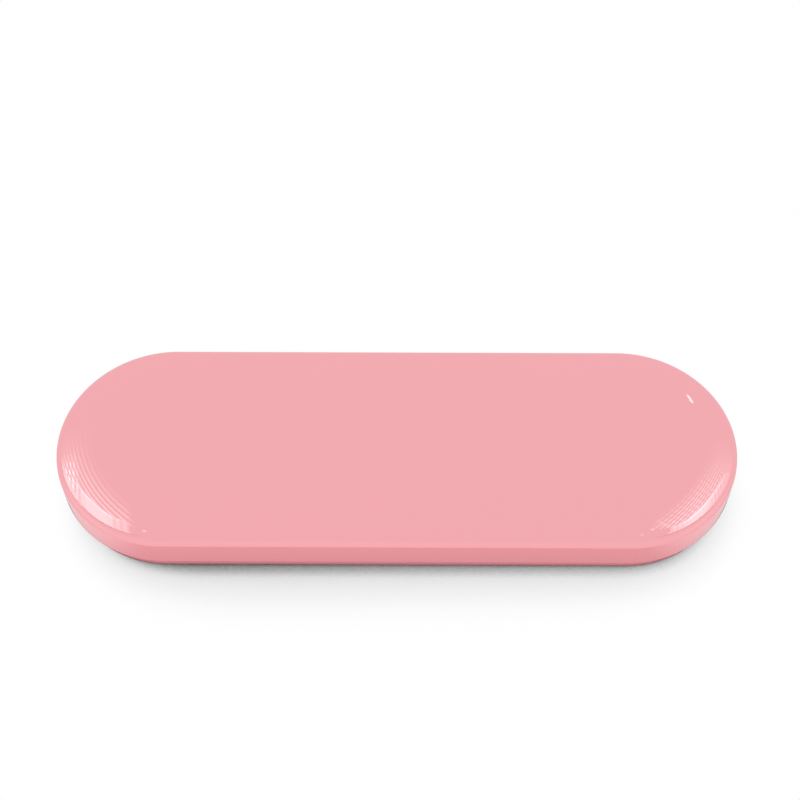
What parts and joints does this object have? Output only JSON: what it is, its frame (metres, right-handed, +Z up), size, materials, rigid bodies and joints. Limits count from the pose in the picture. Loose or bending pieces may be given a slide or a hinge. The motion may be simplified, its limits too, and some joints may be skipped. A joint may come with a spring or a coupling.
{
  "type": "tweezer case",
  "caption": "Hard pill-shaped case for tweezers: glossy shells on a pinned back hinge, a flocked tray with lanes over magnets, and a framed mirror in the lid.",
  "frame": {"origin": "centre of the flat underside, which lies on the table", "axes": "+X along the case's length, -Y towards the front edge that is lifted, +Y towards the hinge, +Z up"},
  "size_m": [0.18, 0.0613, 0.02],
  "materials": {
    "lacquer": "high gloss pink lacquer over moulded plastic",
    "flock": "moulded plastic with charcoal flock",
    "liner_plastic": "fine matt texture",
    "steel": "drawn bright pin",
    "nickel": "nickel plated magnet",
    "silvering": "polished, silvered behind",
    "foam_tape": "matt adhesive foam"
  },
  "bodies": {
    "base": {"base_shell": "lacquer", "tray": "flock", "hold_magnet_1": "nickel", "hold_magnet_2": "nickel", "hold_magnet_3": "nickel", "hold_magnet_4": "nickel", "hold_magnet_5": "nickel", "hold_magnet_6": "nickel", "hold_magnet_7": "nickel", "hold_magnet_8": "nickel", "base_latch_magnet_left": "nickel", "base_latch_magnet_right": "nickel", "hinge_pin_left": "steel", "hinge_pin_right": "steel"},
    "lid": {"lid_shell": "lacquer", "lid_liner": "liner_plastic", "mirror": "silvering", "mirror_tape_left": "foam_tape", "mirror_tape_right": "foam_tape", "lid_latch_magnet_left": "nickel", "lid_latch_magnet_right": "nickel"}
  },
  "joints": [
    {"name": "lid_hinge", "type": "hinge", "parent": "base", "child": "lid", "pos_m": [0, 0.0293, 0.00845], "axis": [-1, 0, 0], "range_deg": [0, 115]}
  ]
}
